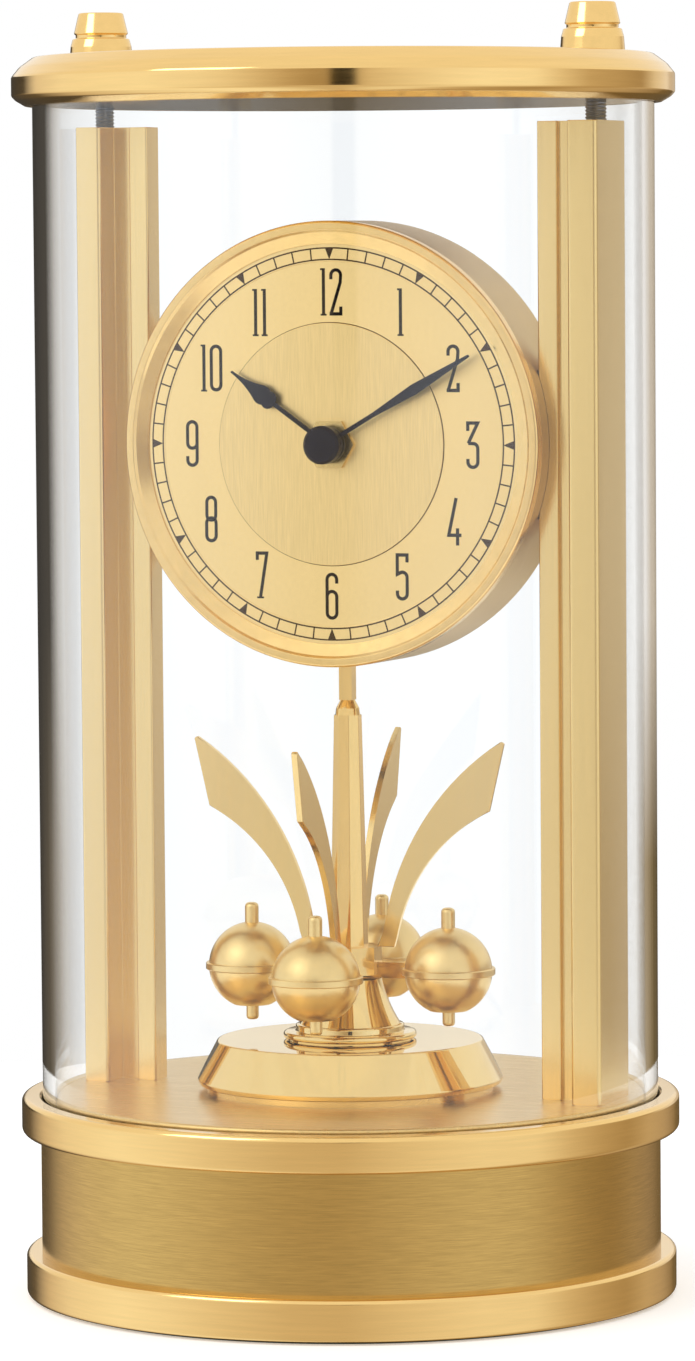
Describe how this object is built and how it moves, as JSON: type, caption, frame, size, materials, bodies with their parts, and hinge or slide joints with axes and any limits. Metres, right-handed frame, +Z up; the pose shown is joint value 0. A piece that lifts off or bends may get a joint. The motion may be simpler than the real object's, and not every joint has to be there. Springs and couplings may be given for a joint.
{
  "type": "anniversary clock",
  "caption": "Cylindrical glass table clock with a round dial held between gold columns and a revolving ball pendulum on a stepped round base.",
  "frame": {"origin": "centre of the felt underside, on the surface the clock stands on", "axes": "+Z up, the dial faces -Y, the columns stand at +X and -X"},
  "size_m": [0.1536, 0.1536, 0.2989],
  "materials": {
    "polished_gold": "polished gold anodising",
    "brushed_gold": "brushed gold anodising",
    "column_gold": "satin gold anodised extrusion",
    "pendulum_gold": "polished lacquered brass",
    "ball_gold": "satin gold",
    "dial_gold": "satin gold, dark printed numerals",
    "hand_black": "blue-black satin lacquer",
    "clear_glass": "clear polished tube",
    "gasket_rubber": "soft grey",
    "felt": "dark felt",
    "iron": "as cast",
    "dark_steel": "blackened steel",
    "movement_plastic": "black moulded",
    "gear_plastic": "natural acetal",
    "brass": "machined",
    "magnet": "sintered grey",
    "copper": "enamelled copper winding",
    "board": "green circuit board",
    "cell": "plain sleeve"
  },
  "bodies": {
    "frame": {"felt_pad": "felt", "foot_disc": "polished_gold", "ballast_plate": "iron", "base_drum": "brushed_gold", "base_ring": "polished_gold", "platform_disc": "brushed_gold", "glass_gasket_lower": "gasket_rubber", "column_right": "column_gold", "column_left": "column_gold", "tie_rods": "dark_steel", "rod_nuts": "dark_steel", "head_case": "brushed_gold", "bezel": "brushed_gold", "back_cover": "brushed_gold", "dial_plate": "dial_gold", "dial_centre": "dial_gold", "head_brackets": "dark_steel", "bracket_screws": "dark_steel", "movement_front": "movement_plastic", "movement_back": "movement_plastic", "battery": "cell", "battery_contacts": "brass", "circuit_board": "board", "step_coil": "copper", "stator": "magnet", "dial_nut": "brass", "drive_case": "movement_plastic", "drive_coils": "copper", "pedestal_disc": "polished_gold", "pedestal_trumpet": "polished_gold", "guide_pin": "dark_steel"},
    "glass": {"glass_tube": "clear_glass"},
    "lid": {"lid": "polished_gold", "glass_gasket_upper": "gasket_rubber"},
    "finial_right": {"finial_right": "polished_gold"},
    "finial_left": {"finial_left": "polished_gold"},
    "minute_hand": {"minute_hand": "hand_black", "cannon_pinion": "brass", "hand_cap": "hand_black"},
    "hour_hand": {"hour_hand": "hand_black", "hour_wheel": "gear_plastic"},
    "minute_wheel": {"minute_wheel": "gear_plastic"},
    "setting_knob": {"setting_knob": "movement_plastic"},
    "third_wheel": {"third_wheel": "gear_plastic"},
    "fourth_wheel": {"fourth_wheel": "gear_plastic"},
    "fifth_wheel": {"fifth_wheel": "gear_plastic"},
    "rotor": {"rotor": "magnet"},
    "pendulum": {"pendulum_rod": "pendulum_gold", "pendulum_arbor": "dark_steel", "drive_magnet": "magnet", "pendulum_collar": "pendulum_gold", "pendulum_post": "pendulum_gold", "pendulum_hub": "pendulum_gold", "ball_right": "ball_gold", "ball_back": "ball_gold", "ball_left": "ball_gold", "ball_front": "ball_gold", "ball_bands": "ball_gold", "ball_pins": "ball_gold", "pendulum_leaves": "pendulum_gold"}
  },
  "joints": [
    {"name": "glass_lift", "type": "slide", "parent": "frame", "child": "glass", "axis": [0, 0, 1], "range_m": [0, 0.04]},
    {"name": "lid_lift", "type": "slide", "parent": "glass", "child": "lid", "axis": [0, 0, 1], "range_m": [0, 0.06]},
    {"name": "finial_right_turn", "type": "hinge", "parent": "lid", "child": "finial_right", "pos_m": [0.0616, 0, 0.2878], "axis": [0, 0, 1], "continuous": true},
    {"name": "finial_left_turn", "type": "hinge", "parent": "lid", "child": "finial_left", "pos_m": [-0.0616, 0, 0.2878], "axis": [0, 0, 1], "continuous": true},
    {"name": "minute_turn", "type": "hinge", "parent": "frame", "child": "minute_hand", "pos_m": [0, 0, 0.1983], "axis": [0, 1, 0], "continuous": true},
    {"name": "hour_turn", "type": "hinge", "parent": "frame", "child": "hour_hand", "pos_m": [0, 0, 0.1983], "axis": [0, 1, 0], "continuous": true},
    {"name": "minute_wheel_turn", "type": "hinge", "parent": "frame", "child": "minute_wheel", "pos_m": [-0.004, 0, 0.20523], "axis": [0, 1, 0], "continuous": true},
    {"name": "setting_turn", "type": "hinge", "parent": "frame", "child": "setting_knob", "pos_m": [-0.012, 0, 0.20523], "axis": [0, 1, 0], "continuous": true},
    {"name": "third_turn", "type": "hinge", "parent": "frame", "child": "third_wheel", "pos_m": [0.00651, 0, 0.20376], "axis": [0, 1, 0], "continuous": true},
    {"name": "fourth_turn", "type": "hinge", "parent": "frame", "child": "fourth_wheel", "pos_m": [0.01371, 0, 0.20376], "axis": [0, 1, 0], "continuous": true},
    {"name": "fifth_turn", "type": "hinge", "parent": "frame", "child": "fifth_wheel", "pos_m": [0.01721, 0, 0.1977], "axis": [0, 1, 0], "continuous": true},
    {"name": "rotor_turn", "type": "hinge", "parent": "frame", "child": "rotor", "pos_m": [0.01617, 0, 0.19179], "axis": [0, 1, 0], "continuous": true},
    {"name": "pendulum_turn", "type": "hinge", "parent": "frame", "child": "pendulum", "pos_m": [0, 0, 0.15], "axis": [0, 0, 1], "range_deg": [-135, 135]}
  ],
  "couplings": [
    {"joint": "hour_turn", "follows": "minute_turn", "ratio": 0.083333},
    {"joint": "minute_wheel_turn", "follows": "minute_turn", "ratio": -0.33333},
    {"joint": "setting_turn", "follows": "minute_turn", "ratio": 1},
    {"joint": "third_turn", "follows": "minute_turn", "ratio": -7.5},
    {"joint": "fourth_turn", "follows": "minute_turn", "ratio": 60},
    {"joint": "fifth_turn", "follows": "minute_turn", "ratio": -360},
    {"joint": "rotor_turn", "follows": "minute_turn", "ratio": 1800}
  ]
}
